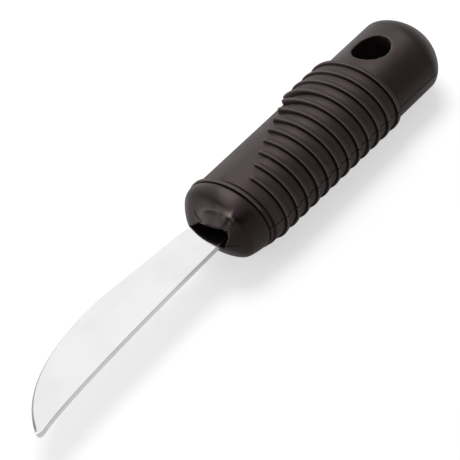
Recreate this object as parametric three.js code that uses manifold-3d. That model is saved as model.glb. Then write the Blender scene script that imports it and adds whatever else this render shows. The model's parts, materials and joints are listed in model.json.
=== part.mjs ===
// Rocker knife: a curved stainless blade held in a thick ribbed grip.
// Millimetres, +Z up, +X toward the blade tip, cutting edge toward -Y.
// Stations along the handle are measured from the joint between sleeve and nose.
import * as THREE from 'three';
import { mergeVertices } from 'three/addons/utils/BufferGeometryUtils.js';
import Module from 'manifold-3d';

const wasm = await Module();
wasm.setup();

// Fits shared by mating pieces
const FIT_GAP = 0.3;

// Handle core: two half shells that meet on the plane of the blade
const TAIL_END_X = -100.6;
const TAIL_HALF_WIDTH = 17.0;
const TAIL_HALF_HEIGHT = 11.75;
const TAIL_DROP = 0.45;
const TAIL_DOME_LENGTH = 11.3;
const TAIL_DOME_POWER = 1.65;
const TAIL_END_SLANT = 0.2;
const TAIL_FLAT_SHARE = 0.12;
const SEAT_REAR_X = -66.7;
const SEAT_FRONT_X = -0.6;
const SEAT_HALF_WIDTH = 14.2;
const SEAT_HALF_HEIGHT = 9.5;
const NOSE_HALF_WIDTH = 16.0;
const NOSE_HALF_HEIGHT = 11.1;
const NOSE_LIFT = 0.35;
const NOSE_FRONT_X = 10.8;
const NOSE_FRONT_SLANT = 0.17;
const NOSE_ROUND_DEPTH = 6.3;
const NOSE_ROUND_RADIAL = 8.1;
const NOSE_ROUND_POWER = 1.25;

// Shadow groove round the joint of sleeve and nose
const JOINT_GROOVE_WIDTH = 0.5;
const JOINT_GROOVE_DEPTH = 1.0;

// Soft crease between the brow of the nose and its mouth: the middle of the round tool
const CREASE_RADIUS = 2.2;
const CREASE_PATH = [
  [9.36, -1.27, 9.78], [9.26, 1.23, 9.77], [9.46, 5.2, 9.06], [9.27, 8.74, 8.19],
  [8.65, 11.29, 7.79], [6.92, 13.76, 7.66], [4.82, 15.17, 6.73], [2.99, 16.76, 5.06],
  [1.16, 18.25, 2.67],
];
const CREASE_SEGMENTS = 20;

// Mouth of the nose, open over the blade and close under it: y and z of its outline
const MOUTH_OUTLINE = [
  [8.3, -1.1], [8.6, 0.4], [9.5, 1.6], [9.8, 2.8], [9.5, 3.9], [8.7, 4.6], [7.4, 4.8],
  [3.0, 4.5], [-1.2, 4.3], [-2.6, 4.0], [-4.4, 3.4], [-6.9, 2.9], [-8.2, 1.4], [-8.3, -1.1],
];
const MOUTH_REAR_X = -5.0;
const MOUTH_PAST_FRONT_X = 16;

// Hanging hole through the tail
const HANG_HOLE_X = -77.6;
const HANG_HOLE_RADIUS = 6.6;
const HANG_HOLE_SEGMENTS = 40;

// Pins that cross the tang and key the two shells together
const PIN_FRONT_X = -14;
const PIN_REAR_X = -43;
const PIN_RADIUS = 1.8;
const PIN_HALF_LENGTH = 6.0;
const PIN_SEGMENTS = 24;

// Blade
const BLADE_HALF_THICKNESS = 0.8;
const EDGE_HALF_THICKNESS = 0.12;
const EDGE_BEVEL = 0.8;
const SPINE_BEVEL = 0.12;
const BLADE_TIP_X = 99.8;
const BLADE_TIP_Y = 10.6;
const TIP_ROUND_X = 100.7;
const TIP_ROUND_Y = 13.0;
const SPINE_TIP_X = 98.2;
const SPINE_TIP_Y = 12.65;
const SPINE_PULL_X = 84.0;
const SPINE_PULL_Y = 8.8;
const SPINE_NECK_X = 9.0;
const SPINE_NECK_Y = 6.95;
const HEEL_X = 15.0;
const HEEL_Y = -9.4;
const HEEL_PULL_X = 11.5;
const HEEL_PULL_Y = -9.0;
const BELLY_X = 46.5;
const BELLY_Y = -12.5;
const BELLY_PULL_X = 68.5;
const TIP_PULL_X = 88.0;
const TIP_PULL_Y = -7.4;
const NECK_X = 8.0;
const NECK_Y = -7.5;
const TANG_SHOULDER_X = -4.5;
const TANG_HALF_WIDTH = 5.6;
const TANG_END_X = -51.5;
const TANG_CORNER = 2.2;
const BLADE_CURVE_STEPS = 30;
const HEEL_CURVE_STEPS = 8;
const SPINE_CURVE_STEPS = 14;

// Ribbed sleeve
const SLEEVE_REAR_X = SEAT_REAR_X + FIT_GAP;
const SLEEVE_FRONT_X = SEAT_FRONT_X - FIT_GAP;
const SLEEVE_BORE_HALF_WIDTH = SEAT_HALF_WIDTH + FIT_GAP;
const SLEEVE_BORE_HALF_HEIGHT = SEAT_HALF_HEIGHT + FIT_GAP;
const FLOOR_HALF_WIDTH = 17.45;
const FLOOR_HALF_HEIGHT = 12.75;
const CREST_HALF_WIDTH = 18.3;
const CREST_HALF_HEIGHT = 13.6;
// The crests are a little flat underneath, so that the knife lies still
const REST_HALF_HEIGHT = 13.3;
const RIB_COUNT = 12;
const RIB_FULL_COUNT = 3;
const RIB_FIRST_FOOT_X = -63.8;
const RIB_PITCH = 5.21;
const RIB_WIDTH = 2.3;
// Low collar at the front of the sleeve, set off by a fine groove
const COLLAR_HALF_WIDTH = 16.75;
const COLLAR_HALF_HEIGHT = 12.75;
const COLLAR_WIDTH = 1.2;
const COLLAR_ROUND = 0.35;
const COLLAR_GROOVE_WIDTH = 0.3;
const COLLAR_GROOVE_DEPTH = 0.5;
const COLLAR_REAR_X = SLEEVE_FRONT_X - COLLAR_WIDTH;
// Share of the rib width from its rear foot, and share of the rib height there
const RIB_PROFILE = [[0, 0], [0.2, 0.68], [0.48, 1], [0.8, 0.86], [1, 0]];

// Smooth finger panel on the cutting-edge side, its border straight in plan
const PANEL_REAR_X = -48.2;
const PANEL_TURN_X = -43.0;
const PANEL_TURN_Y = -8.8;
const PANEL_SLOPE = 0.436;
const PANEL_REAR_SLOPE = 0.85;
const PANEL_DEPTH = 1.25;
const PANEL_FADE_Y = 7.0;
const PANEL_FADE_WIDTH = 21.0;
const PANEL_COLUMNS = 20;
const RIB_COLUMNS = 28;
const RIB_END_WIDTH = 0.55;
const BORE_ROWS = 10;

const CORE_COLUMNS = 48;
const DOME_ROWS = 8;

function toManifold(geometry) {
  const bare = geometry.clone();
  bare.deleteAttribute('normal');
  bare.deleteAttribute('uv');
  const welded = mergeVertices(bare, 1e-4);
  const mesh = new wasm.Mesh({
    numProp: 3,
    vertProperties: Float32Array.from(welded.attributes.position.array),
    triVerts: Uint32Array.from(welded.index.array),
  });
  return new wasm.Manifold(mesh);
}

function toGeometry(solid) {
  const mesh = solid.getMesh();
  const geometry = new THREE.BufferGeometry();
  geometry.setAttribute('position', new THREE.BufferAttribute(mesh.vertProperties, 3));
  geometry.setIndex(new THREE.BufferAttribute(mesh.triVerts, 1));
  return geometry;
}

function indexedGeometry(points, triangles) {
  const geometry = new THREE.BufferGeometry();
  const flat = points.flatMap((p) => [p.x, p.y, p.z]);
  geometry.setAttribute('position', new THREE.Float32BufferAttribute(flat, 3));
  geometry.setIndex(triangles);
  return geometry;
}

// Two triangles for each cell between neighbouring rings of equal count
function joinRings(triangles, first, second, count) {
  for (let j = 0; j < count; j += 1) {
    const k = (j + 1) % count;
    triangles.push(first + j, second + j, second + k);
    triangles.push(first + j, second + k, first + k);
  }
}

// Solid through a row of rings, each end closed by a fan
function solidLoft(rings) {
  const count = rings[0].length;
  const points = rings.flat();
  const triangles = [];
  for (let i = 0; i + 1 < rings.length; i += 1) {
    joinRings(triangles, i * count, (i + 1) * count, count);
  }
  const last = (rings.length - 1) * count;
  const rearCentre = points.push(ringCentre(rings[0])) - 1;
  const frontCentre = points.push(ringCentre(rings.at(-1))) - 1;
  for (let j = 0; j < count; j += 1) {
    const k = (j + 1) % count;
    triangles.push(rearCentre, j, k);
    triangles.push(frontCentre, last + k, last + j);
  }
  return indexedGeometry(points, triangles);
}

// Tube through a closed round of rings: outer rings forward, bore rings back
function tubeLoft(rings) {
  const count = rings[0].length;
  const triangles = [];
  for (let i = 0; i < rings.length; i += 1) {
    joinRings(triangles, i * count, ((i + 1) % rings.length) * count, count);
  }
  return indexedGeometry(rings.flat(), triangles);
}

function ringCentre(ring) {
  const centre = new THREE.Vector3();
  ring.forEach((p) => centre.add(p));
  return centre.divideScalar(ring.length);
}

function ovalPoint(x, halfWidth, halfHeight, angle) {
  return new THREE.Vector3(x, -halfWidth * Math.cos(angle), halfHeight * Math.sin(angle));
}

function ovalRing(x, halfWidth, halfHeight, slant = 0) {
  const ring = [];
  for (let j = 0; j < CORE_COLUMNS; j += 1) {
    const p = ovalPoint(x, halfWidth, halfHeight, (2 * Math.PI * j) / CORE_COLUMNS);
    p.x += slant * p.y;
    ring.push(p);
  }
  return ring;
}

function tailRing(x, share, slant = 0) {
  const ring = ovalRing(x, share * TAIL_HALF_WIDTH, share * TAIL_HALF_HEIGHT, slant);
  ring.forEach((p) => { p.z -= TAIL_DROP; });
  return ring;
}

function noseRing(x, inset, slant = 0) {
  const ring = ovalRing(x, NOSE_HALF_WIDTH - inset, NOSE_HALF_HEIGHT - inset, slant);
  ring.forEach((p) => { p.z += NOSE_LIFT; });
  return ring;
}

// Quarter of a superellipse, from the round end (0) to the full section (1)
function domeShare(step, power) {
  const angle = (Math.PI / 2) * step;
  return {
    along: 1 - Math.cos(angle) ** (2 / power),
    across: Math.sin(angle) ** (2 / power),
  };
}

function tailRings() {
  const rings = [tailRing(TAIL_END_X, TAIL_FLAT_SHARE, TAIL_END_SLANT)];
  for (let i = 1; i <= DOME_ROWS; i += 1) {
    const share = domeShare(i / DOME_ROWS, TAIL_DOME_POWER);
    const x = TAIL_END_X + TAIL_DOME_LENGTH * share.along;
    rings.push(tailRing(x, share.across, TAIL_END_SLANT));
  }
  return rings;
}

function noseRings() {
  const rings = [];
  for (let i = DOME_ROWS; i >= 0; i -= 1) {
    const share = domeShare(i / DOME_ROWS, NOSE_ROUND_POWER);
    const x = NOSE_FRONT_X - NOSE_ROUND_DEPTH * share.along;
    const inset = NOSE_ROUND_RADIAL * (1 - share.across);
    rings.push(noseRing(x, inset, NOSE_FRONT_SLANT));
  }
  return rings;
}

function coreBody() {
  return toManifold(solidLoft([
    ...tailRings(),
    tailRing(SEAT_REAR_X, 1),
    ovalRing(SEAT_REAR_X, SEAT_HALF_WIDTH, SEAT_HALF_HEIGHT),
    ovalRing(SEAT_FRONT_X, SEAT_HALF_WIDTH, SEAT_HALF_HEIGHT),
    noseRing(SEAT_FRONT_X, JOINT_GROOVE_DEPTH),
    noseRing(SEAT_FRONT_X + JOINT_GROOVE_WIDTH, JOINT_GROOVE_DEPTH),
    noseRing(SEAT_FRONT_X + JOINT_GROOVE_WIDTH, 0),
    ...noseRings(),
  ]));
}

function uprightCylinder(x, radius, bottomZ, topZ, segments) {
  const geometry = new THREE.CylinderGeometry(radius, radius, topZ - bottomZ, segments);
  geometry.rotateX(Math.PI / 2);
  geometry.translate(x, 0, (topZ + bottomZ) / 2);
  return toManifold(geometry);
}

function blockBetween(low, high) {
  const size = new THREE.Vector3().subVectors(high, low);
  const geometry = new THREE.BoxGeometry(size.x, size.y, size.z);
  const middle = new THREE.Vector3().addVectors(low, high).multiplyScalar(0.5);
  geometry.translate(middle.x, middle.y, middle.z);
  return toManifold(geometry);
}

const CLEAR_Z = 2 * CREST_HALF_HEIGHT;
const CLEAR_Y = 2 * CREST_HALF_WIDTH;

function mouthCut() {
  const outline = MOUTH_OUTLINE.map(([y, z]) => new THREE.Vector2(y, z));
  const geometry = new THREE.ExtrudeGeometry(new THREE.Shape(outline), {
    depth: MOUTH_PAST_FRONT_X - MOUTH_REAR_X,
    bevelEnabled: false,
  });
  geometry.rotateX(Math.PI / 2);
  geometry.rotateZ(Math.PI / 2);
  geometry.translate(MOUTH_REAR_X, 0, 0);
  return toManifold(geometry);
}

// Round tool drawn along the crease on the upper side of the nose
function creaseCut() {
  const balls = CREASE_PATH.map(([x, y, z]) => {
    const ball = new THREE.SphereGeometry(CREASE_RADIUS, CREASE_SEGMENTS, CREASE_SEGMENTS / 2);
    ball.translate(x, y, z);
    return toManifold(ball);
  });
  const strokes = balls.slice(1).map((ball, i) => wasm.Manifold.hull([balls[i], ball]));
  return wasm.Manifold.union(strokes);
}

function wholeCore() {
  const tangHalf = BLADE_HALF_THICKNESS + FIT_GAP;
  const pinHole = PIN_RADIUS + FIT_GAP;
  const pinReach = PIN_HALF_LENGTH + FIT_GAP;
  const cuts = [
    mouthCut(),
    creaseCut(),
    uprightCylinder(HANG_HOLE_X, HANG_HOLE_RADIUS, -CLEAR_Z, CLEAR_Z, HANG_HOLE_SEGMENTS),
    uprightCylinder(PIN_FRONT_X, pinHole, -pinReach, pinReach, PIN_SEGMENTS),
    uprightCylinder(PIN_REAR_X, pinHole, -pinReach, pinReach, PIN_SEGMENTS),
    blockBetween(
      new THREE.Vector3(TANG_END_X - FIT_GAP, -TANG_HALF_WIDTH - FIT_GAP, -tangHalf),
      new THREE.Vector3(TANG_SHOULDER_X, TANG_HALF_WIDTH + FIT_GAP, tangHalf)),
  ];
  return cuts.reduce((body, cut) => body.subtract(cut), coreBody());
}

function halfSpace(bottomZ, topZ) {
  return blockBetween(
    new THREE.Vector3(TAIL_END_X - CLEAR_Z, -CLEAR_Y, bottomZ),
    new THREE.Vector3(NOSE_FRONT_X + CLEAR_Z, CLEAR_Y, topZ));
}

// Blade outline: cutting edge from neck to tip, then spine and tang
function bladeOutline() {
  const neck = new THREE.Path();
  neck.moveTo(TANG_END_X + TANG_CORNER, -TANG_HALF_WIDTH);
  neck.lineTo(TANG_SHOULDER_X, -TANG_HALF_WIDTH);
  neck.lineTo(NECK_X, NECK_Y);
  const edge = new THREE.Path();
  edge.moveTo(NECK_X, NECK_Y);
  edge.quadraticCurveTo(HEEL_PULL_X, HEEL_PULL_Y, HEEL_X, HEEL_Y);
  const belly = new THREE.Path();
  belly.moveTo(HEEL_X, HEEL_Y);
  belly.lineTo(BELLY_X, BELLY_Y);
  const curve = new THREE.Path();
  curve.moveTo(BELLY_X, BELLY_Y);
  curve.bezierCurveTo(BELLY_PULL_X, BELLY_Y, TIP_PULL_X, TIP_PULL_Y, BLADE_TIP_X, BLADE_TIP_Y);
  const tip = new THREE.Path();
  tip.moveTo(BLADE_TIP_X, BLADE_TIP_Y);
  tip.quadraticCurveTo(TIP_ROUND_X, TIP_ROUND_Y, SPINE_TIP_X, SPINE_TIP_Y);
  tip.quadraticCurveTo(SPINE_PULL_X, SPINE_PULL_Y, SPINE_NECK_X, SPINE_NECK_Y);
  tip.lineTo(TANG_SHOULDER_X, TANG_HALF_WIDTH);
  tip.lineTo(TANG_END_X + TANG_CORNER, TANG_HALF_WIDTH);
  tip.absarc(TANG_END_X + TANG_CORNER, TANG_HALF_WIDTH - TANG_CORNER, TANG_CORNER,
    Math.PI / 2, Math.PI);
  tip.absarc(TANG_END_X + TANG_CORNER, TANG_CORNER - TANG_HALF_WIDTH, TANG_CORNER,
    Math.PI, 1.5 * Math.PI);
  const list = [];
  const append = (points, bevel) => {
    points.forEach((p) => {
      const last = list.at(-1);
      if (!last || p.distanceTo(last.point) > 1e-3) {
        list.push({ point: p, bevel });
      }
    });
  };
  append(neck.getPoints(1), SPINE_BEVEL);
  append(edge.getPoints(HEEL_CURVE_STEPS), EDGE_BEVEL);
  append(belly.getPoints(1), EDGE_BEVEL);
  append(curve.getPoints(BLADE_CURVE_STEPS), EDGE_BEVEL);
  append(tip.getPoints(SPINE_CURVE_STEPS), SPINE_BEVEL);
  if (list[0].point.distanceTo(list.at(-1).point) < 1e-3) {
    list.pop();
  }
  return list;
}

function insetOutline(list) {
  const count = list.length;
  return list.map(({ point, bevel }, i) => {
    const before = list[(i + count - 1) % count].point;
    const after = list[(i + 1) % count].point;
    const a = new THREE.Vector2().subVectors(point, before).normalize();
    const b = new THREE.Vector2().subVectors(after, point).normalize();
    const along = new THREE.Vector2().addVectors(a, b).normalize();
    return new THREE.Vector2(point.x - along.y * bevel, point.y + along.x * bevel);
  });
}

function bladeBody() {
  const list = bladeOutline();
  const rim = list.map(({ point }) => point);
  const face = insetOutline(list);
  const count = rim.length;
  const rimHalf = list.map(({ bevel }) => (
    bevel === EDGE_BEVEL ? EDGE_HALF_THICKNESS : BLADE_HALF_THICKNESS - SPINE_BEVEL));
  const points = [
    ...face.map((p) => new THREE.Vector3(p.x, p.y, -BLADE_HALF_THICKNESS)),
    ...rim.map((p, i) => new THREE.Vector3(p.x, p.y, -rimHalf[i])),
    ...rim.map((p, i) => new THREE.Vector3(p.x, p.y, rimHalf[i])),
    ...face.map((p) => new THREE.Vector3(p.x, p.y, BLADE_HALF_THICKNESS)),
  ];
  const triangles = [];
  for (let level = 0; level < 3; level += 1) {
    for (let j = 0; j < count; j += 1) {
      const k = (j + 1) % count;
      const low = level * count;
      const high = low + count;
      triangles.push(low + j, low + k, high + k);
      triangles.push(low + j, high + k, high + j);
    }
  }
  THREE.ShapeUtils.triangulateShape(face, []).forEach(([a, b, c]) => {
    triangles.push(c, b, a);
    triangles.push(3 * count + a, 3 * count + b, 3 * count + c);
  });
  const hole = PIN_RADIUS + FIT_GAP;
  const drills = [PIN_FRONT_X, PIN_REAR_X].map((x) => (
    uprightCylinder(x, hole, -CLEAR_Z, CLEAR_Z, PIN_SEGMENTS)));
  return drills.reduce((body, drill) => body.subtract(drill),
    toManifold(indexedGeometry(points, triangles)));
}

// Angle from the cutting-edge side at which the finger panel ends
function panelAngle(x) {
  const held = THREE.MathUtils.clamp(x, PANEL_REAR_X, COLLAR_REAR_X);
  const slope = held < PANEL_TURN_X ? PANEL_REAR_SLOPE : PANEL_SLOPE;
  const y = PANEL_TURN_Y + slope * (held - PANEL_TURN_X);
  return Math.acos(-y / FLOOR_HALF_WIDTH);
}

function panelDrop(y) {
  return PANEL_DEPTH * THREE.MathUtils.smoothstep(PANEL_FADE_Y - y, 0, PANEL_FADE_WIDTH);
}

// Angles round one station; the columns crowd at the two borders of the panel
function sleeveAngles(x) {
  const border = panelAngle(x);
  const step = RIB_END_WIDTH / FLOOR_HALF_HEIGHT;
  const angles = [];
  for (let j = 0; j <= PANEL_COLUMNS; j += 1) {
    angles.push({ angle: -border + (2 * border * j) / PANEL_COLUMNS, panel: true });
  }
  const ribStart = border + step;
  const ribSpan = 2 * Math.PI - 2 * ribStart;
  for (let j = 0; j <= RIB_COLUMNS; j += 1) {
    angles.push({ angle: ribStart + (ribSpan * j) / RIB_COLUMNS, panel: false });
  }
  return angles;
}

function sleeveRing(x, share, full, lowered) {
  return sleeveAngles(x).map(({ angle, panel }) => {
    const drop = lowered ? panelDrop(-FLOOR_HALF_WIDTH * Math.cos(angle)) : 0;
    const rise = panel && !full ? 0 : share;
    const halfWidth = FLOOR_HALF_WIDTH - drop;
    const halfHeight = FLOOR_HALF_HEIGHT - drop;
    const point = ovalPoint(
      x,
      halfWidth + rise * (CREST_HALF_WIDTH - halfWidth),
      halfHeight + rise * (CREST_HALF_HEIGHT - halfHeight),
      angle,
    );
    point.z = Math.max(point.z, -REST_HALF_HEIGHT);
    return point;
  });
}

function collarRing(x, depth) {
  return sleeveAngles(x).map(({ angle }) => (
    ovalPoint(x, COLLAR_HALF_WIDTH - depth, COLLAR_HALF_HEIGHT - depth, angle)));
}

function sleeveBody() {
  const rings = [sleeveRing(SLEEVE_REAR_X, 0, true, false)];
  for (let i = 0; i < RIB_COUNT; i += 1) {
    const rearX = RIB_FIRST_FOOT_X + RIB_PITCH * i - RIB_WIDTH;
    const full = i < RIB_FULL_COUNT;
    RIB_PROFILE.forEach(([along, share]) => {
      rings.push(sleeveRing(rearX + RIB_WIDTH * along, share, full, !full));
    });
  }
  rings.push(sleeveRing(COLLAR_REAR_X - COLLAR_GROOVE_WIDTH, 0, true, true));
  rings.push(collarRing(COLLAR_REAR_X - COLLAR_GROOVE_WIDTH / 2, COLLAR_GROOVE_DEPTH));
  rings.push(collarRing(COLLAR_REAR_X, COLLAR_ROUND / 2));
  rings.push(collarRing(COLLAR_REAR_X + COLLAR_ROUND, 0));
  rings.push(collarRing(SLEEVE_FRONT_X - COLLAR_ROUND, 0));
  rings.push(collarRing(SLEEVE_FRONT_X, COLLAR_ROUND));
  for (let i = 0; i <= BORE_ROWS; i += 1) {
    const x = THREE.MathUtils.lerp(SLEEVE_FRONT_X, SLEEVE_REAR_X, i / BORE_ROWS);
    rings.push(sleeveAngles(x).map(({ angle }) => (
      ovalPoint(x, SLEEVE_BORE_HALF_WIDTH, SLEEVE_BORE_HALF_HEIGHT, angle))));
  }
  return tubeLoft(rings);
}

function pinBody() {
  const geometry = new THREE.CylinderGeometry(
    PIN_RADIUS, PIN_RADIUS, 2 * PIN_HALF_LENGTH, PIN_SEGMENTS);
  geometry.rotateX(Math.PI / 2);
  return geometry;
}

function piece(name, geometry, color, roughness, metalness) {
  const material = new THREE.MeshStandardMaterial({ color, roughness, metalness });
  const mesh = new THREE.Mesh(geometry, material);
  mesh.name = name;
  return mesh;
}

const RUBBER = 0x2f2626;
const SHELL = 0x2d2525;
const STEEL = 0xd9dadb;
const PIN_STEEL = 0xa9abad;

// Origin of the part: middle of the length, underside of the ribs
const tipX = Math.max(...bladeOutline().map(({ point }) => point.x));
const tailX = Math.min(...tailRings().flat().map((point) => point.x));
const knife = new THREE.Group();
knife.name = 'rocker_knife';
knife.position.set(-(tailX + tipX) / 2, 0, REST_HALF_HEIGHT);

const core = wholeCore();
knife.add(piece('core_upper', toGeometry(core.intersect(halfSpace(0, CLEAR_Z))), SHELL, 0.5, 0));
knife.add(piece('core_lower', toGeometry(core.intersect(halfSpace(-CLEAR_Z, 0))), SHELL, 0.5, 0));
knife.add(piece('grip_sleeve', sleeveBody(), RUBBER, 0.55, 0));
knife.add(piece('blade', toGeometry(bladeBody()), STEEL, 0.25, 1));

const frontPin = piece('tang_pin_front', pinBody(), PIN_STEEL, 0.35, 1);
frontPin.position.x = PIN_FRONT_X;
knife.add(frontPin);
const rearPin = piece('tang_pin_rear', pinBody(), PIN_STEEL, 0.35, 1);
rearPin.position.x = PIN_REAR_X;
knife.add(rearPin);

export default knife;
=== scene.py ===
"""Looks of a rocker knife: satin blade, ribbed rubber sleeve and moulded handle core."""

from __future__ import annotations

import json
import logging
import math
from collections.abc import Callable, Sequence
from dataclasses import dataclass, field
from enum import Enum
from functools import cache

import bpy
from bpy.types import Attribute, Material, Node, NodeSocket, NodeTree, Object
from mathutils import Matrix, Vector

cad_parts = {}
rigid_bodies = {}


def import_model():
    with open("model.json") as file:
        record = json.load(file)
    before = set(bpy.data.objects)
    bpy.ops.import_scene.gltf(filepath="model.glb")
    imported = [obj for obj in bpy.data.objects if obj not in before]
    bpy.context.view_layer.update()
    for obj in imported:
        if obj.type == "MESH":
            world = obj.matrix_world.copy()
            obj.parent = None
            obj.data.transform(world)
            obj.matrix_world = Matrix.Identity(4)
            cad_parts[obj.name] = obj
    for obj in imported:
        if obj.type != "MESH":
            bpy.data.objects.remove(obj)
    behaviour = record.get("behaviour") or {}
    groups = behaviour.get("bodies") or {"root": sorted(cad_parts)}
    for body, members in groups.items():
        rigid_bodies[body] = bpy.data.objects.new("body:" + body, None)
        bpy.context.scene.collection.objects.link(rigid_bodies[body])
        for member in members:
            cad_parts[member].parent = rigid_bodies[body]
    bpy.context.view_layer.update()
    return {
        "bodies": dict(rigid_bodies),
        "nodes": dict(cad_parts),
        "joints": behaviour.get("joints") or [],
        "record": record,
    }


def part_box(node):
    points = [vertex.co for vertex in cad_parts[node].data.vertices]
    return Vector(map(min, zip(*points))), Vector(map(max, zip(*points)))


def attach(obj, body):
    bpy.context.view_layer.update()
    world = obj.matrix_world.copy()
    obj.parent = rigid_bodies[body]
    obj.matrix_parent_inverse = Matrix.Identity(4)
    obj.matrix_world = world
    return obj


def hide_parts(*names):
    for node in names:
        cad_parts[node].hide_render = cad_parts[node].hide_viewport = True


LOG = logging.getLogger("rocker_knife")
MM = 0.001
TOUCH = 1e-3  # stations this near, in millimetres, count as one
BODY = "root"

Pair = tuple[float, float]
Polyline = tuple[Pair, ...]
Inputs = dict[str | int, object]
Triple = tuple[float, float, float]
Colour = tuple[float, float, float, float]

UNIT: Pair = (0.0, 1.0)
ORIGIN: Triple = (0.0, 0.0, 0.0)
NO_MARKS: Triple = (0.0, 0.0, 0.0)
WHITE: Colour = (1.0, 1.0, 1.0, 1.0)


class Half(Enum):
    """Which of the two core shells a piece is."""

    UPPER = "core_upper"
    LOWER = "core_lower"


class Grind(Enum):
    """How the lines of the last grinding pass run: scale of their noise on each axis."""

    LENGTHWISE = (60.0, 6000.0, 60.0)
    CROSSWISE = (6000.0, 60.0, 60.0)
    ROUND = (60.0, 60.0, 6000.0)


@dataclass(frozen=True)
class HandleFrame:
    """Places handle stations, in millimetres, in the frame of the part.

    X runs from the joint of sleeve and nose toward the tip, the cutting edge is
    toward -Y and the blade lies on z = 0.
    """

    shift: Vector

    @classmethod
    def from_pin(cls, node: str, station: float) -> HandleFrame:
        """Reads the frame from a pin that stands across the tang.

        Args:
            node: Name of the pin.
            station: Station of the pin's middle in millimetres.

        Returns:
            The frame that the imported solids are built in.
        """
        low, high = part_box(node)
        middle = (low + high) / 2
        return cls(Vector((middle.x - station * MM, middle.y, middle.z)))

    def at(self, x: float, y: float = 0.0, z: float = 0.0) -> Vector:
        """Returns a handle point, given in millimetres, in metres."""
        return self.shift + Vector((x, y, z)) * MM

    def local(self, point: Vector) -> Vector:
        """Returns a point of the part, in metres, as handle millimetres."""
        return (point - self.shift) / MM


@dataclass(frozen=True)
class Ring:
    """One oval section across the handle, in millimetres.

    Its marks are shares of rib height, painted highlight and painted shade. On a rib,
    the middle is the station of the rib's middle.
    """

    x: float
    half_width: float
    half_height: float
    marks: Sequence[float] = NO_MARKS
    middle: float = 0.0

    @classmethod
    def inset(cls, x: float, half: Pair, depth: float, marks: Sequence[float] = NO_MARKS) -> Ring:
        """Returns the section that lies a depth inside given half sizes."""
        return cls(x, half[0] - depth, half[1] - depth, marks)


def smoothstep(value: float) -> float:
    """Returns a soft step from 0 to 1 over the unit interval."""
    held = min(max(value, 0.0), 1.0)
    return held * held * (3.0 - 2.0 * held)


def ramp(value: float, start: float, end: float) -> float:
    """Returns a soft step from 0 at the start to 1 at the end."""
    return smoothstep((value - start) / (end - start))


def fade_out(distance: float, reach: float) -> float:
    """Returns a share that falls softly from 1 at no distance to 0 at the reach."""
    return 1.0 - smoothstep(abs(distance) / reach)


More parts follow.
